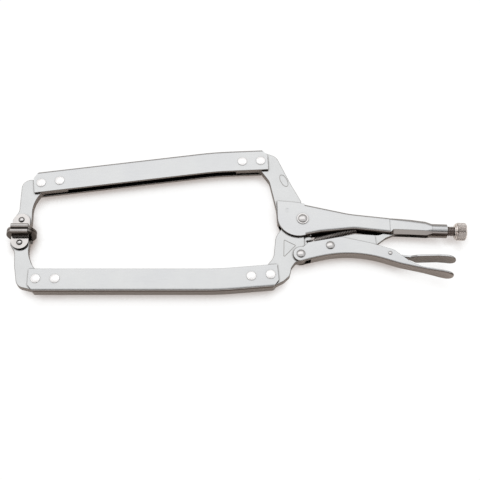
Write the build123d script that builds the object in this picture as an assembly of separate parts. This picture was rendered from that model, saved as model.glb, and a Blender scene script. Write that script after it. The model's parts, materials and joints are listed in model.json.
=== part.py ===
from build123d import *
from math import cos, radians, sin, sqrt, tan
import os

os.makedirs("parts", exist_ok=True)

# Locking C clamp, 18 inch class. X runs from the pads back to the handles, Y from the moving
# pad towards the fixed pad and Z through the thickness. The origin is the centre of the fixed
# pad's face, on the middle plane of the stack. Lengths are millimetres, angles are degrees.

# plates and sheets
jaw_plate = 8.0  # thickness of the fixed jaw and of the tip plate in the fixed arm
side_gap = 0.3  # play between a moving plate and the walls beside it
arm_sheet = 2.4
body_sheet = 2.4
handle_sheet = 2.2
web_round = 1.6  # outer radius along the lower handle's web
pad_sheet = 2.5
bend_radius = 3.0  # outer radius of the folded sheet
plate_round = 0.7  # rounding of the thick plates' edges
sheet_round = 0.45  # rounding of the sheets' cut edges
seat_fit = 0.02  # radial play of a rivet in the pieces that it clamps
turn_fit = 0.05  # radial play of a pin in a piece that turns on it
cut_over = 1.0  # how far a cutting solid runs past the face that it opens
far = 500.0  # a length past every edge of the tool

# shallow stamped marks
stamp_depth = 0.25
stamp_line = 0.8
stamp_long = 7.6  # half the oval's length
stamp_wide = 3.7
stamp_turn = -66.0
weld_sphere = 12.0  # radius of the dimple that a spot weld leaves

# arms: both are the same channel, open towards the throat
arm_length = 239.5
moving_arm_extra = 4.0  # how much longer the moving arm is
arm_lift = 43.1  # from the fixed pad's face to the fixed arm's front corner
arm_drop = 40.6  # from the fixed pad's face to the moving arm's front corner
fixed_heading = 7.6
arm_width = 24.0
bend_at = 186.0  # where the inner edge bends, measured from the front end
bend_turn = 5.0
bend_sweep = 340.0
chamfer_along = 6.0
chamfer_across = 7.0
seat_inset = 1.5  # from the arm's inner edge to the edge of the plate inside it
seat_front = 8.0  # where a tip plate's inner edge enters the arm
seat_length = 33.5  # how far a plate reaches into the arm
tip_cover = 1.0  # how far the arm's chamfered end hides the fixed tip's corner
arm_rivet_shaft = 3.15
arm_rivet_head = 4.65
arm_rivet_margin = 7.2
arm_rivet_pitch = 19.0
arm_rivet_line = arm_width - 13.4

# swivel pads
pad_radius = 15.0
pad_gap = 0.3  # between the two closed faces
hem_gap = 0.3
tab_half = 8.6
pad_pivot_rise = 12.2  # from a pad's face to its pivot
ear_round_rise = 10.3
foot_reach = 9.1  # from the pad pivot to the lowest point of the tip
foot_radius = 9.0
pad_rivet_shaft = 2.2
pad_rivet_head = 2.9

# rear of the body and the finger blades
slit_half = 3.0
flange_rise = 4.2  # how far up the folded-in edge of the body starts
blade_half = 8.2
handle_wall_end = 119.0  # these four are measured from the handle's pivot
handle_blade_start = 116.0
handle_blade_widens = 122.0
handle_blade_full = 138.0
short_straight = 0.1  # length left straight where an outline is almost a full round

# release lever
lever_sheet = 2.0
lever_neck = 15.0  # the lever leaves the channel here, measured from its pin
lever_widens = 20.0
lever_full = 27.0
cheek_sheet = 1.5

# rivets of the linkage
main_shaft = 4.0
main_head = 4.4
main_ring = 5.75
main_ring_rise = 0.7
handle_shaft = 3.0
handle_head = 4.2
head_rim = 0.35
head_rise = 1.3
lever_pin_radius = 1.5
head_radius = 9.8  # round head of the moving jaw
head_clearance = 0.6

# adjusting screw
thread_radius = 4.95
thread_pitch = 1.5
thread_depth = 0.85
screw_slope = -2.0
link_nose = 4.2  # radius of the link's end
link_nose_half = 2.6
end_play = 3.5  # free space between the link's end and the screw's tip
tube_radius = 6.9
pressed_step = 0.15  # the sheet steps down this much where it is pressed round the screw
tube_start = 23.5  # all distances along the screw start at the link's end
tube_end = 38.0
knob_start = 45.5
knob_end = 57.5
knob_radius = 8.9
spigot_radius = 4.0

# return spring
spring_radius = 3.2
spring_wire = 0.6
hook_radius = 2.7
hook_hole = 1.5
hook_web = 1.3  # half thickness of the metal that a hook goes round

moving_plate = jaw_plate - 2 * side_gap
jaw_half = jaw_plate / 2
moving_half = moving_plate / 2
body_half = jaw_half + body_sheet
handle_half = jaw_half + handle_sheet
lever_half = jaw_half - 2 * side_gap


class Arm:
    """Reference lines of one arm: a front run, a gentle bend towards the throat, a rear run."""

    def __init__(self, start, heading, side, length, half_gap):
        self.start = start
        self.side = side
        self.length = length
        self.half_gap = half_gap
        self.headings = (heading, heading - side * bend_turn)
        self.corner = self.place(start, heading, bend_at, 0)

    def place(self, base, heading, along, across):
        turn = radians(heading)
        x = base[0] + along * cos(turn) - self.side * across * sin(turn)
        y = base[1] + along * sin(turn) + self.side * across * cos(turn)
        return (x, y)

    def spot(self, along, across):
        """The point this far along the inner edge and this far across towards the spine."""
        if along <= bend_at:
            return self.place(self.start, self.headings[0], along, across)
        return self.place(self.corner, self.headings[1], along - bend_at, across)

    def bend_spot(self, across):
        """The corner of the bend on a line at this distance from the inner edge."""
        lean = (self.headings[0] + self.headings[1]) / 2
        return self.place(self.corner, lean, 0, across / cos(radians(bend_turn / 2)))

    def rise(self, point):
        """Distance of a point from the inner edge."""
        base, heading = self.start, self.headings[0]
        if point.X > self.corner[0]:
            base, heading = self.corner, self.headings[1]
        turn = radians(heading)
        return self.side * ((point.Y - base[1]) * cos(turn) - (point.X - base[0]) * sin(turn))

    def rivets(self):
        """Rivet places, the front pair and then the rear pair."""
        far = arm_rivet_margin + arm_rivet_pitch
        front = [self.spot(s, arm_rivet_line) for s in (arm_rivet_margin, far)]
        rear = [self.spot(self.length - s, arm_rivet_line) for s in (far, arm_rivet_margin)]
        return front, rear


def around(centre, *corners):
    """Corners given from a centre, as (x, y, corner radius)."""
    return [(centre[0] + x, centre[1] + y, r) for x, y, r in corners]


def corner(point, radius=0):
    return (point[0], point[1], radius)


def face_of(corners):
    outline = FilletPolyline(*[c[:2] for c in corners], radius=[c[2] for c in corners], close=True)
    return make_face(outline)


def plate(corners, low, high):
    """Flat plate between two heights."""
    return Pos(0, 0, low) * extrude(face_of(corners), high - low, dir=(0, 0, 1))


def middle_plate(corners, half):
    return plate(corners, -half, half)


def at_height(edge, height):
    return all(abs(abs((edge @ t).Z) - height) < 0.01 for t in (0, 0.5, 1))


def eased(solid, half, radius):
    """The plate with the edges of both its faces rounded."""
    return fillet([e for e in solid.edges() if at_height(e, half)], radius)


def pin(point, radius, half):
    return Pos(point[0], point[1], 0) * Cylinder(radius, 2 * half)


def block(x_range, y_range, z_range):
    ranges = (x_range, y_range, z_range)
    size = [high - low for low, high in ranges]
    middle = [(high + low) / 2 for low, high in ranges]
    return Pos(*middle) * Box(*size)


def rivet(point, shaft, head, half_stack, rise=head_rise):
    """Rivet along Z with a low domed head outside each face of the stack."""
    crown = rise - head_rim
    sphere = (head * head + crown * crown) / (2 * crown)
    part_way = 0.6 * head
    drop = sphere - sqrt(sphere * sphere - part_way * part_way)
    top = half_stack + rise
    rim = half_stack + head_rim
    upper = ThreePointArc((head, rim), (part_way, top - drop), (0, top))
    lower = ThreePointArc((0, -top), (part_way, drop - top), (head, -rim))
    side = Polyline((head, -rim), (head, -half_stack), (shaft, -half_stack), (shaft, half_stack),
                    (head, half_stack), (head, rim))
    axis = Line((0, top), (0, -top))
    profile = Plane.XZ * make_face([*lower.edges(), *side.edges(), *upper.edges(), *axis.edges()])
    return Pos(point[0], point[1], 0) * revolve(profile, Axis.Z)


def group(solids):
    return Compound(children=list(solids))


# --- places that the rest hangs on ---------------------------------------------------------

fixed = Arm((10.0, arm_lift), fixed_heading, 1, arm_length, jaw_half)
moving = Arm((11.8, -arm_drop), 0.0, -1, arm_length + moving_arm_extra, moving_half)

fixed_end = fixed.spot(fixed.length, 0)
main_pivot = (fixed_end[0] + 33.9, fixed_end[1] - 56.5)
handle_pivot = (main_pivot[0] - 2.7, main_pivot[1] - 38.3)
link_pivot = (handle_pivot[0] + 29.3, handle_pivot[1] + 9.1)
lever_pivot = (handle_pivot[0] + 88.2, handle_pivot[1] + 0.7)
link_end = (link_pivot[0] + 79.7, link_pivot[1] + 19.5)
fixed_pad_pivot = (0, pad_pivot_rise)
moving_pad_pivot = (0, -pad_gap - pad_pivot_rise)
hook_spot = (main_pivot[0] + 4.3, main_pivot[1] - 23.1)
tab_spot = (main_pivot[0] + 61.3, main_pivot[1] - 7.6)
weld_spot = (main_pivot[0] - 15.3, main_pivot[1] + 9.4)
web_front = main_pivot[0] + 2.3  # the body is open on top in front of this
barrel_front = main_pivot[0] + 87.3  # the body's lower edges curl in behind this

screw_frame = Pos(link_end[0], link_end[1], 0) * Rot(0, 0, screw_slope) * Rot(0, 90, 0)


def along_screw(distance):
    turn = radians(screw_slope)
    return (link_end[0] + distance * cos(turn), link_end[1] + distance * sin(turn))


def screw_cylinder(start, end, radius):
    return screw_frame * Pos(0, 0, (start + end) / 2) * Cylinder(radius, end - start)


# --- arms and tips -------------------------------------------------------------------------

def arm_channel(arm):
    outer_half = arm.half_gap + arm_sheet
    blank = middle_plate([
        corner(arm.spot(0, 0)),
        corner(arm.bend_spot(0), bend_sweep - arm_width),
        corner(arm.spot(arm.length, 0)),
        corner(arm.spot(arm.length, arm_width - chamfer_across)),
        corner(arm.spot(arm.length - chamfer_along, arm_width)),
        corner(arm.bend_spot(arm_width), bend_sweep),
        corner(arm.spot(chamfer_along, arm_width)),
        corner(arm.spot(0, arm_width - chamfer_across)),
    ], outer_half)
    spine = [e for e in blank.edges()
             if abs((e @ 0.5).Z) > outer_half - 0.1 and arm.rise(e @ 0.5) > arm_width - 1]
    blank = fillet(spine, bend_radius)
    depth = arm_width - arm_sheet
    hollow = middle_plate([
        corner(arm.spot(-cut_over, -cut_over)),
        corner(arm.bend_spot(-cut_over), bend_sweep - arm_width),
        corner(arm.spot(arm.length + cut_over, -cut_over)),
        corner(arm.spot(arm.length + cut_over, depth)),
        corner(arm.bend_spot(depth), bend_sweep),
        corner(arm.spot(-cut_over, depth)),
    ], arm.half_gap)
    channel = blank - hollow
    lips = [e for e in channel.edges() if arm.rise(e @ 0.5) < 0.4 and abs((e % 0.5).Z) < 0.1
            and abs((e @ 0.5).Z) > arm.half_gap - 0.1]
    channel = fillet(lips, sheet_round)
    front, rear = arm.rivets()
    for point in front + rear:
        channel -= pin(point, arm_rivet_shaft + seat_fit, outer_half + cut_over)
    return channel


def arm_rivets(arm, points):
    stack = arm.half_gap + arm_sheet
    return group(rivet(point, arm_rivet_shaft, arm_rivet_head, stack) for point in points)


def drilled(solid, points, radius):
    for point in points:
        solid -= pin(point, radius, body_half + cut_over)
    return solid


seat_top = arm_width - arm_sheet - seat_fit * 5  # upper edge of a plate inside an arm


def jaw_tip(arm, pivot, toe, heel):
    """Tip plate: a foot round the pad pivot, a neck, and a seat inside the arm's front end."""
    away = arm.side
    foot = pivot[1] - away * foot_reach
    corners = [
        (-9.6, pivot[1] + away * 1.6, 4),
        (-9.6, foot, foot_radius),
        (9.9, foot, foot_radius),
        *heel,
        corner(arm.spot(seat_front, seat_inset), 4),
        corner(arm.spot(seat_length, seat_inset), 1),
        corner(arm.spot(seat_length, seat_top), 1),
        *toe,
    ]
    tip = eased(middle_plate(corners, arm.half_gap), arm.half_gap, plate_round)
    tip = drilled(tip, arm.rivets()[0], arm_rivet_shaft + seat_fit)
    return drilled(tip, [pivot], pad_rivet_shaft + turn_fit)


fixed_jaw_tip = jaw_tip(
    fixed, fixed_pad_pivot,
    toe=[corner(fixed.spot(chamfer_along + tip_cover, seat_top), 2),
         corner(fixed.spot(tip_cover, arm_width - chamfer_across - tip_cover), 1),
         (-4.1, 60.2, 9.5), (-3.9, 23.0, 10)],
    heel=[(8.9, 32.6, 33)])
moving_jaw_tip = jaw_tip(
    moving, moving_pad_pivot,
    toe=[corner(moving.spot(3.5, seat_top), 2),
         (0.7, -58.4, 9), (-3.4, -37.0, 20), (-4.7, -21.5, 10)],
    heel=[(8.8, -23.5, 26), (14.2, -36.5, 18)])


# --- swivel pads ---------------------------------------------------------------------------

def swivel_pad(tip_half):
    """Folded pad, face on y = 0 and back towards +Y: a disc, and two tabs that end as ears."""
    hem = (2 * pad_sheet + hem_gap) / 2
    fold_line = sqrt(pad_radius ** 2 - tab_half ** 2)
    ear_in = tip_half + side_gap
    ear_out = ear_in + pad_sheet
    ear_end = ear_round_rise + tab_half
    flange = pad_sheet + hem_gap
    disc = Rot(90, 0, 0) * Pos(0, 0, -pad_sheet / 2) * Cylinder(pad_radius, pad_sheet)
    disc = fillet(disc.edges().filter_by(GeomType.CIRCLE), sheet_round)
    disc &= Box(4 * pad_radius, 4 * pad_radius, 2 * fold_line)
    ear = face_of([
        (flange, fold_line, 0),
        (flange, ear_in, pad_sheet),
        (ear_end, ear_in, 0),
        (ear_end, ear_out, 0),
        (2 * hem, ear_out, 0.4),
        (2 * hem, fold_line, 0),
    ])
    bend = Pos(hem, fold_line) * (Circle(hem) - Circle(hem_gap / 2))
    bend &= Pos(hem, fold_line + hem) * Rectangle(2 * hem, 2 * hem)
    tabs = []
    for piece in (ear, bend):
        tab = extrude(Plane.YZ * piece, tab_half, both=True)
        tabs += [tab, mirror(tab, Plane.XY)]
    stadium = middle_plate([
        (-tab_half, -cut_over, 0),
        (tab_half, -cut_over, 0),
        (tab_half, ear_end, tab_half - 0.01),
        (-tab_half, ear_end, tab_half - 0.01),
    ], pad_radius + hem)
    pad = disc
    for tab in tabs:
        pad += tab & stadium
    return drilled(pad, [(0, pad_pivot_rise)], pad_rivet_shaft + seat_fit)


def pad_rivet(pivot, tip_half):
    return rivet(pivot, pad_rivet_shaft, pad_rivet_head, tip_half + side_gap + pad_sheet)


fixed_swivel_pad = swivel_pad(fixed.half_gap)
moving_swivel_pad = Pos(0, -pad_gap, 0) * Rot(180, 0, 0) * swivel_pad(moving.half_gap)

# --- jaws ----------------------------------------------------------------------------------

fixed_jaw = middle_plate([
    corner(fixed.spot(fixed.length - seat_length, seat_inset), 1),
    corner(fixed.spot(fixed.length - 8.5, seat_inset), 5),
    *around(main_pivot,
            (-32.9, 43.6, 12), (-26.2, 12.0, 40), (-25.2, -4.6, 1.5),
            (-7.0, -4.6, 0), (0, 0, 0), (8.3, 3.0, 0), (8.3, 12.9, 1), (1.8, 14.2, 1),
            (-0.9, 17.4, 1), (-0.9, 21.0, 5), (-10.9, 40.4, 60), (-25.4, 72.9, 12)),
    corner(fixed.spot(fixed.length - 3.5, seat_top), 2),
    corner(fixed.spot(fixed.length - seat_length, seat_top), 1),
], jaw_half)
fixed_jaw = eased(fixed_jaw, jaw_half, plate_round)
fixed_jaw -= pin(main_pivot, head_radius + head_clearance, body_half)
fixed_jaw = drilled(fixed_jaw, fixed.rivets()[1], arm_rivet_shaft + seat_fit)
oval = Ellipse(stamp_long, stamp_wide)
oval -= Ellipse(stamp_long - stamp_line, stamp_wide - stamp_line)
stamp = Pos(main_pivot[0] - 18.0, main_pivot[1] + 44.4, jaw_half - stamp_depth)
fixed_jaw -= stamp * Rot(0, 0, stamp_turn) * extrude(oval, 2 * stamp_depth)

moving_jaw = middle_plate([
    *around(main_pivot,
            (9.4, -5.2, 0), (-20.7, -5.2, 0.8), (-21.4, -9.8, 5), (-27.4, -19.0, 14),
            (-29.6, -41.5, 14)),
    corner(moving.spot(moving.length - 11.5, seat_inset), 5),
    corner(moving.spot(moving.length - seat_length, seat_inset), 1),
    corner(moving.spot(moving.length - seat_length, seat_top), 1),
    corner(moving.spot(moving.length - 3.5, seat_top), 2),
    *around(main_pivot,
            (-20.0, -66.5, 6), (-14.2, -61.0, 5), (-12.2, -52.0, 5), (-8.0, -46.2, 3),
            (4.3, -45.3, 6.9), (4.3, -29.0, 1.5), (8.0, -26.6, 3.4), (8.2, -19.0, 2)),
], moving_half)
moving_jaw += pin(main_pivot, head_radius, moving_half)
moving_jaw = eased(moving_jaw, moving_half, plate_round)
for side in (-1, 1):
    thinned = Pos(0, 0, side * (hook_web + moving_half)) * pin(hook_spot, 6.5, moving_half)
    moving_jaw -= thinned & block(
        (hook_spot[0] - 3.6, hook_spot[0] + 9), (hook_spot[1] - 9, hook_spot[1] + 6),
        (-body_half, body_half))
moving_jaw = drilled(moving_jaw, [main_pivot], main_shaft + turn_fit)
moving_jaw = drilled(moving_jaw, [handle_pivot], handle_shaft + turn_fit)
moving_jaw = drilled(moving_jaw, [hook_spot], hook_hole)
moving_jaw = drilled(moving_jaw, moving.rivets()[1], arm_rivet_shaft + seat_fit)
gusset = [(-19.4, -21.6, 1), (-6.9, -28.3, 1), (-20.1, -42.1, 1)]
triangle = face_of(around(main_pivot, *gusset))
triangle -= offset(triangle, -stamp_line)
moving_jaw -= Pos(0, 0, moving_half - stamp_depth) * extrude(triangle, 2 * stamp_depth, dir=(0, 0, 1))

# --- upper handle body ---------------------------------------------------------------------

body_top = [(-25.5, 20.5, 1), (-4.0, 18.4, 80), (47.0, 6.4, 100), (87.3, 1.6, 0)]
body_bottom = [(87.3, -15.4, 0), (51.3, -11.2, 40), (16.8, -14.7, 40), (-24.7, -24.1, 21)]


def barrel_section(x, top, bottom, half, top_radius, rise, lip, radius):
    """Section across the rear of the body: round on top, sloping in to a lip on each side."""
    section = face_of([
        (bottom, -lip, radius),
        (bottom, lip, radius),
        (bottom + rise, half, radius),
        (top, half, top_radius),
        (top, -half, top_radius),
        (bottom + rise, -half, radius),
    ])
    return Plane(origin=(x, 0, 0), x_dir=(0, 1, 0), z_dir=(1, 0, 0)) * section


def round_section(x, centre, radius):
    """The same section drawn as a circle, up to very short straights."""
    lip = radius * tan(radians(22.5))
    arc = radius - short_straight
    return barrel_section(x, centre + radius, centre - radius, radius, arc, radius - lip, lip, arc)


def body_barrel():
    """Rear of the body, folding from a channel into the threaded tube."""
    level = main_pivot[1]
    fold = barrel_front + 3.2
    middle = barrel_front + 21
    neck = barrel_front + 36
    rear, height = along_screw(tube_start)
    edge = body_half - pressed_step
    end = tube_radius - pressed_step
    corner_cut = 0.8
    outer = loft([
        barrel_section(barrel_front, level + 1.6 - pressed_step, level - 15.4 + pressed_step,
                       edge, bend_radius, corner_cut, edge - corner_cut, 0.4),
        barrel_section(fold, level + 1.9, level - 15.6, edge, 4.2, flange_rise, slit_half, 0.8),
        barrel_section(middle, level + 0.9, level - 16.4, edge, 5.6, flange_rise, slit_half, 1.0),
        barrel_section(neck, level - 1.2, level - 17.3, edge + 0.1, 6.0, flange_rise, slit_half, 1.2),
        round_section(rear, height, end),
    ], ruled=True)
    under = 1.5  # from the outer lip to the same line on the inner face
    inner_rise = flange_rise - 0.65
    inner_lip = slit_half - 1.9
    inner = loft([
        barrel_section(barrel_front - cut_over, level - 0.9, level - 13.9, jaw_half, 0.6,
                       inner_rise, inner_lip, 0.4),
        barrel_section(fold, level - 0.6, level - 15.6 + under, jaw_half, 1.9,
                       inner_rise, inner_lip, 0.4),
        barrel_section(middle, level - 1.5, level - 16.4 + under, jaw_half, 3.2,
                       inner_rise, inner_lip, 0.4),
        barrel_section(neck, level - 3.6, level - 17.3 + under, 4.1, 3.6,
                       inner_rise, inner_lip, 0.4),
        round_section(rear + cut_over, height, end - body_sheet),
    ], ruled=True)
    slit = Plane.XZ * face_of([
        (barrel_front - cut_over, slit_half, 0),
        (neck + 2, slit_half, slit_half - short_straight),
        (neck + 2, -slit_half, slit_half - short_straight),
        (barrel_front - cut_over, -slit_half, 0),
    ])
    slit = Pos(0, level - 10, 0) * extrude(slit, 12, dir=(0, -1, 0))
    return outer - inner - slit


def upper_body():
    """Channel open at the bottom, whose flat walls carry the jaw plate and the main pivot."""
    corners = around(main_pivot, *body_top, *body_bottom)
    walls = middle_plate(corners, body_half)
    rounded = fillet([e for e in walls.edges() if at_height(e, body_half)
                      and (e @ 0.5).Y > main_pivot[1] and abs((e % 0.5).X) > 0.8], bend_radius)
    rounded = fillet([e for e in rounded.edges() if at_height(e, body_half)
                      and (e @ 0.5).Y < main_pivot[1]], sheet_round)
    full_height = (-body_half, body_half)
    cheeks = eased(walls, body_half, sheet_round) & block((0, web_front), (-far, far), full_height)
    rounded &= block((web_front, barrel_front), (-far, far), full_height)
    low = main_pivot[1] - far
    hollow = middle_plate([
        *around(main_pivot, *[(x, y - body_sheet, r) for x, y, r in body_top]),
        (barrel_front, low, 0),
        (main_pivot[0] + body_top[0][0], low, 0),
    ], jaw_half)
    slot = block((0, web_front), (-far, far), (-jaw_half, jaw_half))
    tab = middle_plate(around(tab_spot, (-4, -3.6, 3.5), (4, -3.6, 3.5), (4, 10.5, 0), (-4, 10.5, 0)),
                       hook_web)
    body = cheeks + rounded - hollow - slot
    body += drilled(tab, [tab_spot], hook_hole)
    body += body_barrel()
    body += screw_cylinder(tube_start - 0.5, tube_end, tube_radius)
    body -= screw_cylinder(link_nose + 1, tube_end + cut_over, thread_radius + turn_fit)
    for side in (-1, 1):
        weld_height = side * (body_half + weld_sphere - stamp_depth)
        body -= Pos(weld_spot[0], weld_spot[1], weld_height) * Sphere(weld_sphere)
    return drilled(body, [main_pivot], main_shaft + seat_fit)


upper_handle_body = upper_body()

main_pivot_rivet = rivet(main_pivot, main_shaft, main_head, body_half + main_ring_rise)
for side in (-1, 1):
    ring = pin(main_pivot, main_ring, main_ring_rise / 2)
    main_pivot_rivet += Pos(0, 0, side * (body_half + main_ring_rise / 2)) * ring

# --- lower handle --------------------------------------------------------------------------

web_line = [(150.0, -22.9, 0), (98.0, -10.9, 60), (51.1, 4.6, 115), (10.0, -5.3, 0)]


def lower_handle_channel():
    """Channel open at the top, with ears round its pivot and a bare blade at the rear."""
    ear = 7.6
    lift = handle_sheet * 1.03  # the sheet's thickness measured upright on the sloping web
    corners = around(
        handle_pivot,
        (2.0, -7.6, 0), (-ear, -ear, ear - 0.1), (-ear, ear, ear - 0.1), (2.5, ear, 2),
        (7.2, 12.4, 3), (40.5, 18.6, 14), (72.0, 11.0, 60), (92.0, 4.6, 8), (108.5, -9.0, 20),
        (handle_wall_end, -13.4, 8), (web_line[0][0], web_line[0][1] + lift, 0.6), *web_line)
    blank = middle_plate(corners, handle_half)
    below = [e for e in blank.edges() if abs((e @ 0.5).Z) > handle_half - 0.1
             and (e @ 0.5).X > handle_pivot[0] + 12 and (e @ 0.5).X < handle_pivot[0] + web_line[0][0] - 2
             and abs((e @ 0.5).Y - web_height((e @ 0.5).X)) < 1.2]
    blank = fillet(below, web_round)
    blank = fillet([e for e in blank.edges() if at_height(e, handle_half)
                    and (e @ 0.5).Y > web_height((e @ 0.5).X) + 1.2], sheet_round)
    hollow = middle_plate(around(
        handle_pivot,
        (10.0, 30, 0), (125.0, 30, 0), (125.0, -14.5, 0),
        *[(x, y + lift, r) for x, y, r in web_line[1:]]), jaw_half)
    slot = block((0, handle_pivot[0] + 10), (-far, far), (-jaw_half, jaw_half))
    handle = blank - hollow - slot
    wall_end = handle_pivot[0] + handle_wall_end
    handle -= block((wall_end, far), (-far, far), (-handle_half, handle_half))
    handle += finger_blade(lift)
    handle = drilled(handle, [handle_pivot, link_pivot], handle_shaft + seat_fit)
    return drilled(handle, [lever_pivot], lever_pin_radius + seat_fit)


def finger_blade(lift):
    """Bare rear end of the web, which widens and then ends in a half round."""
    end, end_level, _ = web_line[0]
    start = handle_blade_start
    slope = (end_level - web_line[1][1]) / (end - web_line[1][0])
    start_level = end_level + slope * (start - end)
    blade = middle_plate(around(
        handle_pivot, (start, start_level, 0), (end, end_level, 0),
        (end, end_level + lift, 0), (start, start_level + lift, 0)), blade_half)
    side = [(start, handle_half, 0), (handle_blade_widens, handle_half, 12),
            (handle_blade_full, blade_half, 12), (end, blade_half, blade_half - short_straight)]
    outline = [(handle_pivot[0] + x, z, r) for x, z, r in side]
    outline += [(x, -z, r) for x, z, r in reversed(outline)]
    blade &= extrude(Plane.XZ * face_of(outline), far, both=True)
    faces = blade.faces().sort_by(Axis.Y)
    wide = [f for f in faces if abs(f.normal_at().Y) > 0.9]
    front = handle_pivot[0] + start + 0.1
    outer = [e for e in wide[0].edges() if e.bounding_box().max.X > front]
    blade = fillet(outer, web_round)
    wide = max((f for f in blade.faces() if f.normal_at().Y > 0.9), key=lambda f: f.area)
    return fillet([e for e in wide.edges() if e.bounding_box().max.X > front], sheet_round)


def web_height(x):
    """Height of the web's outer face, taken on the straight lines between its corners."""
    spots = [(handle_pivot[0] + a, handle_pivot[1] + b) for a, b, _ in reversed(web_line)]
    for (x0, y0), (x1, y1) in zip(spots, spots[1:]):
        if x <= x1:
            return y0 + (y1 - y0) * (x - x0) / (x1 - x0)
    return spots[-1][1]


lower_handle = lower_handle_channel()
handle_pivot_rivet = rivet(handle_pivot, handle_shaft, handle_head, handle_half)
link_pivot_rivet = rivet(link_pivot, handle_shaft, handle_head, handle_half)
release_lever_pin = rivet(lever_pivot, lever_pin_radius, 1.9, handle_half, rise=0.8)

# --- toggle link ---------------------------------------------------------------------------

toggle_link = middle_plate([
    *around(link_pivot,
            (-7, -7, 6.9), (-7, 7, 6.9), (25.0, 13.8, 8), (49.0, 12.2, 12), (76.0, 23.7, 8)),
    *around(link_end,
            (link_nose, link_nose, 4.1), (link_nose, -link_nose, 4.1), (-12.5, -4.7, 12)),
    *around(link_pivot, (56.0, 10.0, 10), (38.0, -3.8, 10)),
], moving_half)
toggle_link = eased(toggle_link, moving_half, plate_round)
for side in (-1, 1):
    thinned = middle_plate(around(
        link_pivot, (42.0, 40, 0), (48.0, -20, 0), (90.0, -20, 0), (90.0, 40, 0)), 2)
    toggle_link -= Pos(0, 0, side * (link_nose_half + 2)) * thinned
toggle_link = drilled(toggle_link, [link_pivot], handle_shaft + turn_fit)

# --- release lever -------------------------------------------------------------------------

lever_top = [(-20.5, 1.9, 0.8), (-8.0, 2.8, 6), (1.0, 3.4, 5), (11.0, -0.6, 10), (27.0, -2.5, 20),
             (47.5, -2.0, 18), (57.0, -2.7, 12), (65.3, -4.6, 0.6)]


def lever():
    """Top strip with a nose under the link, two cheeks round the pin, and a finger blade."""
    outline = around(lever_pivot, *lever_top)
    outline += [(x - 0.1, y - lever_sheet, r) for x, y, r in reversed(outline)]
    strip = middle_plate(outline, blade_half)
    neck, widens, full = [lever_pivot[0] + x for x in (lever_neck, lever_widens, lever_full)]
    front = block((0, neck), (-far, far), (-lever_half, lever_half))
    half_round = blade_half - short_straight
    tail_end = lever_pivot[0] + lever_top[-1][0]
    blade = Plane.XZ * face_of([
        (neck, lever_half, 0), (widens, lever_half, 3), (full, blade_half, 6),
        (tail_end, blade_half, half_round), (tail_end, -blade_half, half_round),
        (full, -blade_half, 6), (widens, -lever_half, 3), (neck, -lever_half, 0),
    ])
    strip &= front + extrude(blade, far, both=True)
    blade_edges = [e for e in strip.edges() if (e @ 0.5).X > widens + 2
                   and abs((e % 0.5).Y) < 0.75 and abs((e @ 0.5).Z) > 0.1]
    strip = fillet(blade_edges, sheet_round)
    cheeks = middle_plate(around(
        lever_pivot, (-9.0, 1.6, 1), (1.0, 2.4, 1), (10.0, -1.4, 1), (13.0, -2.6, 0.5), (7.0, -4.6, 3),
        (-3.0, -4.2, 3)), lever_half)
    cheeks -= block((0, far), (-far, far), (cheek_sheet - lever_half, lever_half - cheek_sheet))
    return drilled(strip + cheeks, [lever_pivot], lever_pin_radius + turn_fit)


release_lever = lever()

# --- adjusting screw and knob --------------------------------------------------------------


def threaded_screw():
    """Screw along +Z from the link's end, its thread drawn as equal rings."""
    tip = link_nose + end_play
    root = thread_radius - thread_depth
    outline = [(0, tip), (2.6, tip), (root, tip + 1.4)]
    start = tip + 2.0
    turns = int((knob_start - start) / thread_pitch)
    for turn in range(turns):
        base = start + turn * thread_pitch
        outline += [(root, base), (thread_radius, base + 0.55), (thread_radius, base + 0.85)]
        outline += [(root, base + 1.4)]
    outline += [(root, knob_start), (spigot_radius, knob_start), (spigot_radius, knob_end - 1.5)]
    outline += [(0, knob_end - 1.5)]
    profile = Plane.XZ * make_face(Polyline(*outline, close=True))
    return screw_frame * revolve(profile, Axis.Z)


def knob():
    """Knurled knob along +Z on the screw's spigot, with a turned shoulder at its front."""
    profile = face_of([
        (0, knob_start + 0.1, 0), (6.6, knob_start + 0.1, 0.6), (6.6, knob_start + 1.2, 0),
        (knob_radius - 0.8, knob_start + 1.6, 0), (knob_radius, knob_start + 2.6, 0.3),
        (knob_radius, knob_end - 1.0, 0.3), (knob_radius - 1.0, knob_end, 0.3), (0, knob_end, 0),
    ])
    turned = revolve(Plane.XZ * profile, Axis.Z)
    socket_depth = knob_end - 1.4
    turned -= Pos(0, 0, (knob_start + socket_depth) / 2) * Cylinder(
        spigot_radius + turn_fit, socket_depth - knob_start)
    return screw_frame * turned


adjusting_screw = threaded_screw()
adjusting_knob = knob()

# --- return spring -------------------------------------------------------------------------


def return_spring():
    """Closed coil between the jaw's hook hole and the tab, with a ring at each end."""
    start = Vector(*hook_spot, 0)
    run = Vector(*tab_spot, 0) - start
    direction = run.normalized()
    frame = Plane(origin=start, x_dir=(0, 0, 1), z_dir=direction)
    ring_end = 2 * hook_radius
    end = ring_end + spring_radius / 2
    coil = Pos(0, 0, run.length / 2) * Cylinder(spring_radius, run.length - 2 * end)
    coil -= Cylinder(spring_radius - 2 * spring_wire, 3 * run.length)
    ring = Rot(90, 0, 0) * Torus(hook_radius, spring_wire)
    spring = coil
    for place in (hook_radius, run.length - hook_radius):
        spring += Pos(0, 0, place) * ring
    neck = (ring_end + end) / 2
    for place in (neck, run.length - neck):
        spring += Pos(0, 0, place) * Cylinder(2 * spring_wire, end - ring_end + spring_wire)
    for place in (end, run.length - end):
        spring += Pos(0, 0, place) * Cylinder(spring_radius - spring_wire, 2 * spring_wire)
    return frame * spring


tension_spring = return_spring()

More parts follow.
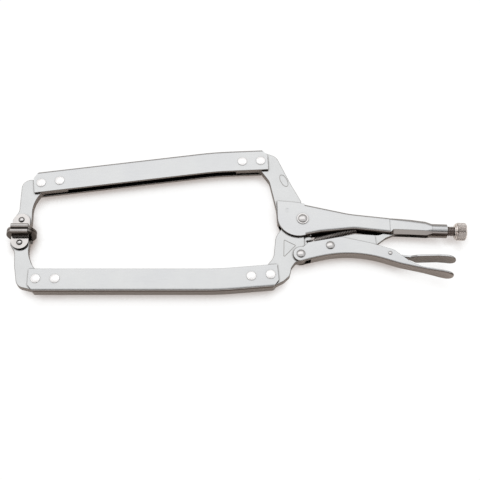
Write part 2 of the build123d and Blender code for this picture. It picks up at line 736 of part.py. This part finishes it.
nodes = {
    "upper_handle_body": upper_handle_body,
    "fixed_jaw": fixed_jaw,
    "fixed_arm": arm_channel(fixed),
    "fixed_jaw_tip": fixed_jaw_tip,
    "fixed_arm_rivets_front": arm_rivets(fixed, fixed.rivets()[0]),
    "fixed_arm_rivets_rear": arm_rivets(fixed, fixed.rivets()[1]),
    "main_pivot_rivet": main_pivot_rivet,
    "moving_jaw": moving_jaw,
    "moving_arm": arm_channel(moving),
    "moving_jaw_tip": moving_jaw_tip,
    "moving_arm_rivets_front": arm_rivets(moving, moving.rivets()[0]),
    "moving_arm_rivets_rear": arm_rivets(moving, moving.rivets()[1]),
    "lower_handle": lower_handle,
    "handle_pivot_rivet": handle_pivot_rivet,
    "link_pivot_rivet": link_pivot_rivet,
    "release_lever_pin": release_lever_pin,
    "release_lever": release_lever,
    "toggle_link": toggle_link,
    "fixed_swivel_pad": fixed_swivel_pad,
    "fixed_pad_rivet": pad_rivet(fixed_pad_pivot, fixed.half_gap),
    "moving_swivel_pad": moving_swivel_pad,
    "moving_pad_rivet": pad_rivet(moving_pad_pivot, moving.half_gap),
    "adjusting_screw": adjusting_screw,
    "adjusting_knob": adjusting_knob,
    "tension_spring": tension_spring,
}

for name, shape in nodes.items():
    export_step(shape, f"parts/{name}.step")
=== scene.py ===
import json
from math import atan2, cos, pi, radians, sin

import bpy
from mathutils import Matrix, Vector


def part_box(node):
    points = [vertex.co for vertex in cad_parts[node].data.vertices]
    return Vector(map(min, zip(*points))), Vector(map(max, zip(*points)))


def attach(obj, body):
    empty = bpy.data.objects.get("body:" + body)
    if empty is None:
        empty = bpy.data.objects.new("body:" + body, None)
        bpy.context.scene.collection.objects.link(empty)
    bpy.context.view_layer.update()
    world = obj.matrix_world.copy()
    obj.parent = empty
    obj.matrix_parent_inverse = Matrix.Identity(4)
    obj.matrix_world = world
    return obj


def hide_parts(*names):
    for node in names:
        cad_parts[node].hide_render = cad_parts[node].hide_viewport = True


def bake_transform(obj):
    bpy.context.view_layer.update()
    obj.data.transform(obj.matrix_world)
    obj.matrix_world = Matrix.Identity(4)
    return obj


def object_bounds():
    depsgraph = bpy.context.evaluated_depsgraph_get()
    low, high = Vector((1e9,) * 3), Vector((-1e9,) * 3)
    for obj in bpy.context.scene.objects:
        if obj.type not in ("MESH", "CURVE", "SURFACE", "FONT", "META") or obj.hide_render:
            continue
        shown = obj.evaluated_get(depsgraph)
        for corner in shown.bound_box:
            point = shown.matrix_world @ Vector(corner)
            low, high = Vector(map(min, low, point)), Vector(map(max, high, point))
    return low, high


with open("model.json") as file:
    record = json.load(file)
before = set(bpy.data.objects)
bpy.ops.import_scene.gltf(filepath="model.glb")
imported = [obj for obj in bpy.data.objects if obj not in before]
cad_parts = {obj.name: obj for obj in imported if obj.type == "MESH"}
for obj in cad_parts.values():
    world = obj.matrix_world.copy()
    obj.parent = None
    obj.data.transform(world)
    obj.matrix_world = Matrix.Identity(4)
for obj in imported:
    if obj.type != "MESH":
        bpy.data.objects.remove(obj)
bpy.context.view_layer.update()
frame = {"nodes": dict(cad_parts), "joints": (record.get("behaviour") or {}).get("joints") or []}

mm = 0.001
nodes = frame["nodes"]
joints = {joint["name"]: joint for joint in frame["joints"]}

# --- sizes of the pieces made here ---------------------------------------------------------

knob_sides = 48  # diamonds round the knurled band, about 1.2 mm each
band_rows = 6
knurl_rise = 0.28 * mm
thread_pitch = 1.5 * mm
thread_depth = 0.85 * mm
thread_steps = 40
wire_radius = 0.6 * mm
hook_radius = 2.7 * mm
coil_pitch = 1.6 * mm  # wide enough that the turns stay apart when the jaw is open
coil_outer = 3.2 * mm
coil_inset = 2 * hook_radius + coil_outer / 2  # from the end of a hook to the coil
coil_steps = 22  # points in each turn of the spring
ring_steps = 20  # points round each hook
hook_gap = 0.16 * pi  # half of the angle that a hook leaves open towards the coil
weld = 0.01 * mm  # points closer than this are one point


# --- modelling helpers ---------------------------------------------------------------------

def start_clean():
    if bpy.context.object and bpy.context.object.mode != "OBJECT":
        bpy.ops.object.mode_set(mode="OBJECT")
    bpy.ops.object.select_all(action="DESELECT")


def alone(piece):
    """Makes the piece the only selected one and the active one."""
    start_clean()
    piece.select_set(True)
    bpy.context.view_layer.objects.active = piece


def select_where(kind, test):
    """In edit mode, selects just the faces or edges that pass the test."""
    bpy.ops.mesh.select_all(action="DESELECT")
    bpy.ops.mesh.select_mode(type=kind)
    bpy.ops.object.mode_set(mode="OBJECT")
    mesh = bpy.context.object.data
    for item in mesh.polygons if kind == "FACE" else mesh.edges:
        item.select = test(mesh, item)
    bpy.ops.object.mode_set(mode="EDIT")


def turned(name, profile, sides):
    """Solid of revolution about Z, extruded ring by ring from (height, radius) pairs."""
    start_clean()
    height, radius = profile[0]
    bpy.ops.mesh.primitive_circle_add(
        vertices=sides, radius=radius, fill_type="NGON", location=(0, 0, height))
    piece = bpy.context.object
    piece.name = piece.data.name = name
    bpy.ops.object.transform_apply(location=True)
    bpy.ops.object.mode_set(mode="EDIT")
    bpy.ops.mesh.select_all(action="SELECT")
    for next_height, next_radius in profile[1:]:
        bpy.ops.mesh.extrude_region_move(
            TRANSFORM_OT_translate={"value": (0, 0, next_height - height)})
        scale = next_radius / radius
        bpy.ops.transform.resize(value=(scale, scale, 1), center_override=(0, 0, next_height))
        height, radius = next_height, next_radius
    bpy.ops.mesh.select_all(action="SELECT")
    bpy.ops.mesh.normals_make_consistent(inside=False)
    bpy.ops.object.mode_set(mode="OBJECT")
    return piece


def placed(piece, place):
    """Moves the mesh itself, so that the object stays at the origin."""
    piece.data.transform(place)
    piece.data.update()


def smoothed(piece, angle):
    alone(piece)
    bpy.ops.object.shade_smooth_by_angle(angle=radians(angle))


def apply_modifiers(piece):
    alone(piece)
    for modifier in list(piece.modifiers):
        bpy.ops.object.modifier_apply(modifier=modifier.name)


# --- the adjusting screw's line ------------------------------------------------------------

screw_axis = Vector(joints["knob_turn"]["axis"]).normalized()
knob_front = Vector(joints["knob_turn"]["pos_m"])
screw_line = screw_axis.to_track_quat("Z", "Y").to_matrix().to_4x4()
screw_line.translation = knob_front

knob_low, knob_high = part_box("adjusting_knob")
screw_low, screw_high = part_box("adjusting_screw")
knob_radius = (knob_high.z - knob_low.z) / 2
thread_radius = (screw_high.z - screw_low.z) / 2
slope = atan2(screw_axis.y, screw_axis.x)
knob_rear = (knob_high.x - knob_front.x - knob_radius * abs(sin(slope))) / cos(slope)


# --- knurled knob --------------------------------------------------------------------------

def knurled_knob():
    """Turned knob with a collar in front and a band of raised diamonds round it."""
    band_radius = knob_radius - knurl_rise
    band_start = 2.9 * mm
    band_end = knob_rear - 1.3 * mm
    row = (band_end - band_start) / band_rows
    profile = [
        (0.15 * mm, 5.2 * mm),
        (0.15 * mm, 6.4 * mm),
        (0.4 * mm, 6.6 * mm),
        (1.1 * mm, 6.6 * mm),
        (1.3 * mm, 7.9 * mm),
        (1.6 * mm, 8.2 * mm),
        (2.3 * mm, 8.2 * mm),
        (2.5 * mm, 7.9 * mm),
    ]
    profile += [(band_start + i * row, band_radius) for i in range(band_rows + 1)]
    profile += [
        (band_end + 0.7 * mm, band_radius - 0.25 * mm),
        (knob_rear - 0.15 * mm, band_radius - 1.0 * mm),
        (knob_rear, band_radius - 1.4 * mm),
        (knob_rear, 3.4 * mm),
        (knob_rear - 0.5 * mm, 2.6 * mm),
        (knob_rear - 0.7 * mm, 0.6 * mm),
    ]
    knob = turned("knurled_knob", profile, knob_sides)

    def in_band(mesh, face):
        edge = 0.05 * mm
        heights = [mesh.vertices[i].co.z for i in face.vertices]
        return min(heights) > band_start - edge and max(heights) < band_end + edge

    bpy.ops.object.mode_set(mode="EDIT")
    select_where("FACE", in_band)
    bpy.ops.mesh.poke()

    def between_diamonds(mesh, edge):
        heights = [mesh.vertices[i].co.z - band_start for i in edge.vertices]
        on_ring = [abs(height - round(height / row) * row) < weld for height in heights]
        inside = weld < sum(heights) / 2 < band_end - band_start - weld
        return all(on_ring) and inside

    select_where("EDGE", between_diamonds)
    bpy.ops.mesh.dissolve_edges(use_verts=False)
    select_where("FACE", in_band)
    bpy.ops.mesh.inset(thickness=0.3 * mm, depth=knurl_rise, use_individual=True)
    bpy.ops.object.mode_set(mode="OBJECT")
    placed(knob, screw_line)
    smoothed(knob, 25)
    return knob


# --- threaded screw ------------------------------------------------------------------------

def threaded_rod():
    """One thread profile swept along a helix, cut square at both ends, with a chamfered tip."""
    root = thread_radius - thread_depth
    tip = (screw_low.x - knob_front.x) / cos(slope)
    thread_start = tip + 1.4 * mm
    thread_end = 0.4 * mm  # past the knob's front face, so that no gap shows
    start_clean()
    bpy.ops.mesh.primitive_plane_add(size=thread_pitch, location=(root, 0, thread_start))
    rod = bpy.context.object
    rod.name = rod.data.name = "threaded_rod"
    outline = [(root, 0), (thread_radius, 0.55 * mm), (thread_radius, 0.75 * mm),
               (root, 1.3 * mm), (root, thread_pitch)]
    bpy.ops.object.transform_apply(location=True)
    bpy.ops.object.mode_set(mode="EDIT")
    bpy.ops.mesh.select_mode(type="VERT")
    bpy.ops.mesh.select_all(action="SELECT")
    bpy.ops.mesh.merge(type="CENTER")
    bpy.ops.transform.translate(value=(0, 0, -thread_pitch))
    for (radius, height), (next_radius, next_height) in zip(outline, outline[1:]):
        bpy.ops.mesh.extrude_vertices_move(
            TRANSFORM_OT_translate={"value": (next_radius - radius, 0, next_height - height)})
    bpy.ops.object.mode_set(mode="OBJECT")
    screw = rod.modifiers.new("thread", "SCREW")
    screw.axis = "Z"
    screw.angle = 2 * pi
    screw.screw_offset = thread_pitch
    screw.iterations = int((thread_end - thread_start) / thread_pitch) + 3
    screw.steps = screw.render_steps = thread_steps
    screw.use_merge_vertices = True
    screw.merge_threshold = weld
    apply_modifiers(rod)
    bpy.ops.object.mode_set(mode="EDIT")
    bpy.ops.mesh.select_all(action="SELECT")
    bpy.ops.mesh.remove_doubles(threshold=weld)
    bpy.ops.mesh.bisect(plane_co=(0, 0, thread_end), plane_no=(0, 0, 1), use_fill=True,
                        clear_outer=True)
    bpy.ops.mesh.select_all(action="SELECT")
    bpy.ops.mesh.bisect(plane_co=(0, 0, thread_start), plane_no=(0, 0, 1), use_fill=True,
                        clear_inner=True)
    select_where("FACE", lambda mesh, face: abs(face.center.z - thread_start) < weld)
    bpy.ops.mesh.extrude_region_move(
        TRANSFORM_OT_translate={"value": (0, 0, tip - thread_start + 0.1 * mm)})
    bpy.ops.transform.resize(value=(0.62, 0.62, 1), center_override=(0, 0, tip))
    bpy.ops.mesh.select_all(action="SELECT")
    bpy.ops.mesh.normals_make_consistent(inside=False)
    bpy.ops.object.mode_set(mode="OBJECT")
    placed(rod, screw_line)
    smoothed(rod, 30)
    return rod


# --- return spring -------------------------------------------------------------------------

def spring_line():
    """The two ends of the spring's axis and its direction. In the spring's box the hooks set
    the length along X, and the two ends of the coil set the width along Y."""
    low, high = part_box("tension_spring")
    run = high.x - low.x - 2 * wire_radius
    rise = high.y - low.y
    for _ in range(20):
        along = Vector((run, rise, 0)).normalized()
        rise = high.y - low.y + 2 * coil_inset * along.y - 2 * coil_outer * along.x
    near = Vector((low.x + wire_radius,
                   low.y - coil_inset * along.y + coil_outer * along.x, 0))
    return near, near + Vector((run, rise, 0)), along


def hook_ring(centre, along, first_turn, last_turn):
    """The points of an upright ring that is open on one side."""
    up = Vector((0, 0, 1))
    turns = [first_turn + (last_turn - first_turn) * i / ring_steps
             for i in range(ring_steps + 1)]
    return [centre + hook_radius * (along * cos(turn) + up * sin(turn)) for turn in turns]


def coil_spring():
    """One wire: an upright hook ring, the close coil, the other upright hook ring."""
    near, far, along = spring_line()
    across = Vector((-along.y, along.x, 0))
    up = Vector((0, 0, 1))
    length = (far - near).length
    coil_radius = coil_outer - wire_radius
    points = hook_ring(near + along * hook_radius, along, 2 * pi - hook_gap, hook_gap)
    coil_start = coil_inset + wire_radius
    coil_end = length - coil_start
    turns = int((coil_end - coil_start) / coil_pitch)
    for i in range(turns * coil_steps + 1):
        turn = 2 * pi * i / coil_steps
        height = coil_start + (coil_end - coil_start) * i / (turns * coil_steps)
        points.append(near + along * height
                      + up * coil_radius * cos(turn) - across * coil_radius * sin(turn))
    points += hook_ring(far - along * hook_radius, along, pi - hook_gap, hook_gap - pi)
    wire = bpy.data.curves.new("return_spring", "CURVE")
    wire.dimensions = "3D"
    wire.bevel_depth = wire_radius
    wire.bevel_resolution = 2
    wire.use_fill_caps = True
    line = wire.splines.new("POLY")
    line.points.add(len(points) - 1)
    for slot, point in zip(line.points, points):
        slot.co = (*point, 1)
    spring = bpy.data.objects.new("return_spring", wire)
    bpy.context.scene.collection.objects.link(spring)
    alone(spring)
    bpy.ops.object.convert(target="MESH")
    spring = bpy.context.object
    bpy.ops.object.mode_set(mode="EDIT")
    bpy.ops.mesh.select_all(action="SELECT")
    bpy.ops.mesh.normals_make_consistent(inside=False)
    bpy.ops.object.mode_set(mode="OBJECT")
    smoothed(spring, 60)
    return spring


# --- finishes ------------------------------------------------------------------------------

def colour(hex_value):
    """An sRGB hex colour as the linear colour that a shader takes."""
    channels = [int(hex_value[i:i + 2], 16) / 255 for i in (1, 3, 5)]
    return [c / 12.92 if c <= 0.04045 else ((c + 0.055) / 1.055) ** 2.4 for c in channels] + [1]


def add(tree, kind, settings=None, links=None):
    """Adds a node. Settings are socket values or properties, links are its inputs' sources."""
    node = tree.nodes.new(kind)
    for name, value in (settings or {}).items():
        if isinstance(name, int) or name in node.inputs:
            node.inputs[name].default_value = value
        else:
            setattr(node, name, value)
    for name, source in (links or {}).items():
        tree.links.new(source, node.inputs[name])
    return node


def ramp(tree, source, stops):
    """A colour ramp through (position, red, green, blue) stops."""
    node = add(tree, "ShaderNodeValToRGB", links={"Fac": source})
    elements = node.color_ramp.elements
    elements[0].position = stops[0][0]
    elements[0].color = (*stops[0][1:], 1)
    elements[1].position = stops[-1][0]
    elements[1].color = (*stops[-1][1:], 1)
    for position, *tone in stops[1:-1]:
        elements.new(position).color = (*tone, 1)
    return node.outputs[0]


def normal_of(tree):
    """The surface's own X, Y and Z normal, which stay with a piece that turns."""
    turned_with = add(tree, "ShaderNodeTexCoord").outputs["Normal"]
    return add(tree, "ShaderNodeSeparateXYZ", links={"Vector": turned_with})


def tilt_of(tree):
    """1 on a face that lies flat, 0 on one that stands upright."""
    return add(tree, "ShaderNodeMath", {"operation": "ABSOLUTE"},
               {0: normal_of(tree).outputs["Z"]}).outputs[0]


def metal(name, tint, second_tint, rough, rough_spread, grain_mm, blotch_mm,
          streak=(1, 1, 1), wall_tint=None, fold_tint=None, wall_tilts=(0.95, 0.3),
          corner_mm=2.4):
    """Plated or bare steel whose tint and gloss wander a little, with painted shade in the
    corners where pieces meet, over corner_mm. wall_tint and fold_tint are darker tints
    painted on upright faces and on rounded edges, by the piece's own normals: they are painted
    reflections of what those faces mirror and aren't the plating's colour. wall_tilts is where
    the wall's tint starts and is full, 1 being a flat face. Returns the material, its tree, its
    shader and its coordinates."""
    material = bpy.data.materials.new(name)
    material.use_nodes = True
    tree = material.node_tree
    shader = tree.nodes["Principled BSDF"]
    shader.inputs["Metallic"].default_value = 1
    place = add(tree, "ShaderNodeTexCoord").outputs["Object"]
    along = add(tree, "ShaderNodeMapping", {"Scale": streak}, {"Vector": place})
    blotch = add(tree, "ShaderNodeTexNoise",
                 {"Scale": 1 / (blotch_mm * mm), "Detail": 3, "Roughness": 0.55},
                 {"Vector": place})
    grain = add(tree, "ShaderNodeTexNoise",
                {"Scale": 1 / (grain_mm * mm), "Detail": 2, "Roughness": 0.6},
                {"Vector": along.outputs[0]})
    spread = add(tree, "ShaderNodeMapRange", {"From Min": 0.35, "From Max": 0.65},
                 {"Value": blotch.outputs[0]})
    tints = add(tree, "ShaderNodeMix",
                {"data_type": "RGBA", 6: colour(tint), 7: colour(second_tint)},
                {0: spread.outputs[0]})
    shade = tints.outputs[2]
    # Painted reflections: darker tints on upright faces and on rounded edges, by the piece's own
    # normals.
    if wall_tint:
        upright = add(tree, "ShaderNodeMapRange",
                      {"interpolation_type": "SMOOTHSTEP", "From Min": wall_tilts[0],
                       "From Max": wall_tilts[1]},
                      {"Value": tilt_of(tree)})
        shade = add(tree, "ShaderNodeMix", {"data_type": "RGBA", 7: colour(wall_tint)},
                    {0: upright.outputs[0], 6: shade}).outputs[2]
    if fold_tint:
        fold = ramp(tree, tilt_of(tree), [
            (0.25, 0, 0, 0), (0.42, 1, 1, 1), (0.68, 1, 1, 1), (0.82, 0, 0, 0)])
        shade = add(tree, "ShaderNodeMix", {"data_type": "RGBA", 7: colour(fold_tint)},
                    {0: fold, 6: shade}).outputs[2]
    # Painted shade: the colour darkens towards a dark brown-grey where other surfaces close in,
    # as in the corners where pieces meet.
    corner = add(tree, "ShaderNodeAmbientOcclusion", {"samples": 6, "Distance": corner_mm * mm})
    unshaded = add(tree, "ShaderNodeMapRange", {"From Min": 0.5, "From Max": 0.92},
                {"Value": corner.outputs["AO"]})
    shade = add(tree, "ShaderNodeMix", {"data_type": "RGBA", 6: colour("#4A4541")},
                {0: unshaded.outputs[0], 7: shade}).outputs[2]
    gloss = add(tree, "ShaderNodeMapRange",
                {"From Min": 0.3, "From Max": 0.7, "To Min": rough - rough_spread,
                 "To Max": rough + rough_spread},
                {"Value": grain.outputs[0]})
    bump = add(tree, "ShaderNodeBump", {"Strength": 0.25, "Distance": 0.02 * mm},
               {"Height": grain.outputs[0]})
    tree.links.new(shade, shader.inputs["Base Color"])
    tree.links.new(gloss.outputs[0], shader.inputs["Roughness"])
    tree.links.new(bump.outputs[0], shader.inputs["Normal"])
    return material, tree, shader, place


# Nickel-plated pressed sheet steel: satin, with a faint drawing grain along the sheet. The
# inside of a folded channel is painted nearly black, which stands for the deep shade in it.
# Upright walls and rounded folds take darker painted reflection tints.
def plated_sheet(name, opening, dark_to=None, wall_tint="#847C76"):
    """opening is the side that the channel opens to: 1 for +Y, -1 for -Y, 0 for none."""
    material, tree, shader, place = metal(
        name, "#ADADAD", "#B0B0AF", 0.24, 0.02, 1.2, 40, streak=(0.12, 1, 1),
        wall_tint=wall_tint, fold_tint="#6A615B")
    shader.inputs["Specular IOR Level"].default_value = 0.1  # of the dull inside alone
    if not opening:
        return material
    inside_half = 4.02 * mm  # just over half of the channel's inner width
    spot = add(tree, "ShaderNodeSeparateXYZ", links={"Vector": place})
    height = add(tree, "ShaderNodeMath", {"operation": "ABSOLUTE"}, {0: spot.outputs["Z"]})
    between = add(tree, "ShaderNodeMath", {"operation": "LESS_THAN", 1: inside_half},
                  {0: height.outputs[0]})
    towards = add(tree, "ShaderNodeMath", {"operation": "MULTIPLY", 1: opening},
                  {0: normal_of(tree).outputs["Y"]})
    inner = add(tree, "ShaderNodeMath", {"operation": "MAXIMUM"},
                {0: tilt_of(tree), 1: towards.outputs[0]})
    faces_in = add(tree, "ShaderNodeMath", {"operation": "GREATER_THAN", 1: 0.5},
                   {0: inner.outputs[0]})
    mask = add(tree, "ShaderNodeMath", {"operation": "MULTIPLY"},
               {0: between.outputs[0], 1: faces_in.outputs[0]})
    if dark_to is not None:
        before = add(tree, "ShaderNodeMath", {"operation": "LESS_THAN", 1: dark_to},
                     {0: spot.outputs["X"]})
        mask = add(tree, "ShaderNodeMath", {"operation": "MULTIPLY"},
                   {0: mask.outputs[0], 1: before.outputs[0]})
    # Painted shade: inside the channel the sheet is nearly black and not metallic; outside it
    # the sheet stays metal.
    bare = add(tree, "ShaderNodeMath", {"operation": "SUBTRACT", 0: 1.0}, {1: mask.outputs[0]})
    tint = shader.inputs["Base Color"].links[0].from_socket
    gloss = shader.inputs["Roughness"].links[0].from_socket
    shade = add(tree, "ShaderNodeMix", {"data_type": "RGBA", 7: colour("#050404")},
                {0: mask.outputs[0], 6: tint})
    dull = add(tree, "ShaderNodeMix", {"data_type": "FLOAT", 3: 0.6},
               {0: mask.outputs[0], 2: gloss})
    tree.links.new(shade.outputs[2], shader.inputs["Base Color"])
    tree.links.new(dull.outputs[0], shader.inputs["Roughness"])
    tree.links.new(bare.outputs[0], shader.inputs["Metallic"])
    return material


# Nickel-plated steel plate: smooth rolled faces, rougher on the cut edges, and a darker grey
# in a stamped mark, so that its line can be seen.
# Upright faces and rounded edges take darker painted reflection tints.
def plated_plate(name, marked_face=None):
    """marked_face is the height of the flat face that carries a stamped mark, if it has one."""
    material, tree, shader, place = metal(
        name, "#ABABAA", "#AFAFAE", 0.24, 0.04, 0.9, 30, wall_tint="#8A827C",
        fold_tint="#6A615B")
    tilt = tilt_of(tree)
    edge = add(tree, "ShaderNodeMath", {"operation": "LESS_THAN", 1: 0.5}, {0: tilt})
    gloss = shader.inputs["Roughness"].links[0].from_socket
    rougher = add(tree, "ShaderNodeMath",
                  {"operation": "MULTIPLY_ADD", 1: 0.1}, {0: edge.outputs[0], 2: gloss})
    tree.links.new(rougher.outputs[0], shader.inputs["Roughness"])
    if marked_face is None:
        return material
    flat = add(tree, "ShaderNodeMath", {"operation": "GREATER_THAN", 1: 0.98}, {0: tilt})
    spot = add(tree, "ShaderNodeSeparateXYZ", links={"Vector": place})
    below = add(tree, "ShaderNodeMath", {"operation": "LESS_THAN", 1: marked_face - 0.1 * mm},
                {0: spot.outputs["Z"]})
    above = add(tree, "ShaderNodeMath", {"operation": "GREATER_THAN", 1: marked_face - 0.5 * mm},
                {0: spot.outputs["Z"]})
    between = add(tree, "ShaderNodeMath", {"operation": "MULTIPLY"},
                  {0: below.outputs[0], 1: above.outputs[0]})
    mark = add(tree, "ShaderNodeMath", {"operation": "MULTIPLY"},
               {0: flat.outputs[0], 1: between.outputs[0]})
    tint = shader.inputs["Base Color"].links[0].from_socket
    marked = add(tree, "ShaderNodeMix", {"data_type": "RGBA", 7: colour("#8B8986")},
                 {0: mark.outputs[0], 6: tint})
    tree.links.new(marked.outputs[2], shader.inputs["Base Color"])
    return material


# Nickel-plated pads: pressed from thin sheet and burnished, so they mirror what is around.
# Upright faces take a dark painted reflection tint.
def plated_pad():
    return metal("burnished_nickel_plate", "#A9A5A2", "#B3AFAC", 0.15, 0.04, 1.0, 12,
                 wall_tint="#5A524C", wall_tilts=(0.97, 0.45), corner_mm=1.6)[0]


# Headed steel rivets: a pale half-matt coat, taken for zinc, over a smooth rolled head.
# The head's upright rim takes a darker painted reflection tint.
def rivet_steel():
    material, _, shader, _ = metal(
        "white_zinc_rivet_steel", "#F6F5F4", "#FBFAF9", 0.4, 0.04, 0.8, 6, wall_tint="#A8A39F")
    shader.inputs["Metallic"].default_value = 0.5
    return material


# Linkage rivets: a polished dome that mirrors the room, with a dark painted reflection on the
# slopes of the dome, darkest round its foot.
def pivot_steel():
    return metal("polished_pivot_steel", "#B8B5B3", "#BFBCBA", 0.1, 0.03, 0.8, 6,
                 wall_tint="#2E2A27", wall_tilts=(0.985, 0.84), corner_mm=1.2)[0]


# Threaded steel rod: a cut thread, darker than the plating.
def screw_steel():
    return metal("cut_thread_steel", "#8F8681", "#9D948F", 0.3, 0.05, 0.8, 8,
                 corner_mm=0.5)[0]


# Knurled steel: rolled diamonds, plated.
def knurled_steel():
    return metal("knurled_plated_steel", "#DFD7D1", "#E9E2DD", 0.26, 0.05, 0.7, 7,
                 corner_mm=0.5)[0]


# Drawn spring wire: a dull darker grey than the plating.
def spring_wire():
    return metal("drawn_spring_wire", "#75716E", "#87827E", 0.3, 0.05, 0.7, 9,
                 corner_mm=0.5)[0]


def finish_of(node, material):
    for slot in nodes[node].material_slots:
        slot.material = material


curl_length = 57.2 * mm  # the body's edges fold in round the screw over this rear stretch
blade_length = 31.0 * mm  # bare blade at the rear of the lower handle
sheet_down = plated_sheet("nickel_plated_sheet_steel", -1)
sheet_up = plated_sheet("nickel_plated_sheet_steel_upturned", 1)
sheet_body = plated_sheet(
    "nickel_plated_body_sheet", -1, dark_to=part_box("upper_handle_body")[1].x - curl_length)
# The lower handle's upright walls take a lighter painted reflection tint than the other sheets.
sheet_handle = plated_sheet(
    "nickel_plated_handle_sheet", 1, dark_to=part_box("lower_handle")[1].x - blade_length,
    wall_tint="#978E88")
sheet_strip = plated_sheet("nickel_plated_strip_steel", 0)
finishes = {
    "plated_plate": plated_plate("nickel_plated_steel_plate"),
    "plated_pad": plated_pad(),
    "rivet_steel": rivet_steel(),
    "screw_steel": screw_steel(),
    "knurled_steel": knurled_steel(),
    "spring_wire": spring_wire(),
    "plated_sheet": sheet_strip,
}
pivots = pivot_steel()
own_finishes = {
    "fixed_arm": sheet_down,
    "upper_handle_body": sheet_body,
    "moving_arm": sheet_up,
    "lower_handle": sheet_handle,
    "fixed_jaw": plated_plate("nickel_plated_fixed_jaw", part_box("fixed_jaw")[1].z),
    "moving_jaw": plated_plate("nickel_plated_moving_jaw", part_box("moving_jaw")[1].z),
    "main_pivot_rivet": pivots,
    "handle_pivot_rivet": pivots,
    "link_pivot_rivet": pivots,
    "release_lever_pin": pivots,
    "fixed_pad_rivet": pivots,
    "moving_pad_rivet": pivots,
}
for name, node in nodes.items():
    slot_name = node.material_slots[0].material.name
    finish_of(name, own_finishes.get(name) or finishes[slot_name])

knob = knurled_knob()
knob.data.materials.append(finishes["knurled_steel"])
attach(knob, "knob")
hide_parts("adjusting_knob")

rod = threaded_rod()
rod.data.materials.append(finishes["screw_steel"])
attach(rod, "screw")
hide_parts("adjusting_screw")

spring = coil_spring()
spring.data.materials.append(finishes["spring_wire"])
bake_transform(spring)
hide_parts("tension_spring")

# --- floor, light and camera ---------------------------------------------------------------

low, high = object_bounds()
middle = (low + high) / 2
start_clean()
bpy.ops.mesh.primitive_plane_add(size=8, location=(middle.x, middle.y, low.z - 0.1 * mm))
floor = bpy.context.object
floor.name = "floor"
paper = bpy.data.materials.new("white_paper")
paper.use_nodes = True
tree = paper.node_tree
sheet = tree.nodes["Principled BSDF"]
sheet.inputs["Base Color"].default_value = colour("#F8F3EE")
sheet.inputs["Roughness"].default_value = 0.9
sheet.inputs["Specular IOR Level"].default_value = 0.1
# Camera rays see mostly this white, and its darker tone close to the tool stands for most of
# the shadow. The share for mirror rays is small, so the metal mirrors the lit paper instead.
camera_share = 0.92
mirror_share = 0.1
contact = add(tree, "ShaderNodeAmbientOcclusion", {"samples": 8, "Distance": 14 * mm})
near = add(tree, "ShaderNodeMapRange", {"From Min": 0.45, "From Max": 0.85},
           {"Value": contact.outputs["AO"]})
tone = add(tree, "ShaderNodeMix",
           {"data_type": "RGBA", 6: colour("#9F928B"), 7: (1.05, 1.05, 1.05, 1)},
           {0: near.outputs[0]})
white = add(tree, "ShaderNodeEmission", {"Strength": 1}, {"Color": tone.outputs[2]})
path = add(tree, "ShaderNodeLightPath")
seen = add(tree, "ShaderNodeMath", {"operation": "MULTIPLY", 1: camera_share},
           {0: path.outputs["Is Camera Ray"]})
mirrored = add(tree, "ShaderNodeMath", {"operation": "MAXIMUM"},
               {0: path.outputs["Is Glossy Ray"], 1: path.outputs["Is Transmission Ray"]})
lift = add(tree, "ShaderNodeMath", {"operation": "MULTIPLY_ADD", 1: mirror_share},
           {0: mirrored.outputs[0], 2: seen.outputs[0]})
blend = add(tree, "ShaderNodeMixShader",
            links={0: lift.outputs[0], 1: sheet.outputs[0], 2: white.outputs[0]})
tree.links.new(blend.outputs[0], tree.nodes["Material Output"].inputs["Surface"])
floor.data.materials.append(paper)

# Bright overhead, falling to a dim room. On the -Y side a dark gap lies between the ceiling and
# a low strip of light, and gives the rounded heads something dark to mirror.
sky = bpy.data.worlds.new("studio")
bpy.context.scene.world = sky
sky.use_nodes = True
tree = sky.node_tree
direction = add(tree, "ShaderNodeTexCoord").outputs["Generated"]
spot = add(tree, "ShaderNodeSeparateXYZ", links={"Vector": direction})
ceiling = ramp(tree, spot.outputs["Z"], [
    (0.0, 0.34, 0.31, 0.29), (0.3, 0.62, 0.59, 0.57), (0.7, 1.12, 1.13, 1.15)])
behind = ramp(tree, spot.outputs["Z"], [
    (0.0, 0.3, 0.28, 0.27), (0.42, 0.62, 0.6, 0.59), (0.6, 1.2, 1.12, 1.08),
    (0.72, 1.1, 1.02, 0.98), (0.82, 0.07, 0.06, 0.055), (0.92, 0.07, 0.06, 0.055),
    (0.98, 1.1, 1.1, 1.1)])
south = add(tree, "ShaderNodeMapRange",
            {"interpolation_type": "SMOOTHSTEP", "From Min": -0.1, "From Max": -0.35},
            {"Value": spot.outputs["Y"]})
room = add(tree, "ShaderNodeMix", {"data_type": "RGBA"},
           {0: south.outputs[0], 6: ceiling, 7: behind})
tree.links.new(room.outputs[2], tree.nodes["Background"].inputs["Color"])
tree.nodes["Background"].inputs["Strength"].default_value = 1.0

softbox_place = (0.15, 0.6, 1.1)
softbox = bpy.data.lights.new("softbox", "AREA")
softbox.shape = "RECTANGLE"
softbox.size = 1.4
softbox.size_y = 0.7
softbox.color = (0.98, 0.99, 1.0)
softbox.energy = 2.2
box_light = bpy.data.objects.new("softbox", softbox)
bpy.context.scene.collection.objects.link(box_light)
box_light.location = softbox_place
aim = Vector((middle.x, middle.y, 0)) - box_light.location
box_light.rotation_euler = aim.to_track_quat("-Z", "Y").to_euler()

camera_place = (0.2188, -0.4169, 0.8791)
camera_target = Vector((0.2188, -0.007, 0))
lens = bpy.data.cameras.new("camera")
lens.lens = 72.75
lens.sensor_width = 36
lens.clip_start = 0.01
camera = bpy.data.objects.new("camera", lens)
bpy.context.scene.collection.objects.link(camera)
camera.location = camera_place
view_line = camera_target - camera.location
camera.rotation_euler = view_line.to_track_quat("-Z", "Y").to_euler()
bpy.context.scene.camera = camera
bpy.context.scene.view_settings.view_transform = "Standard"
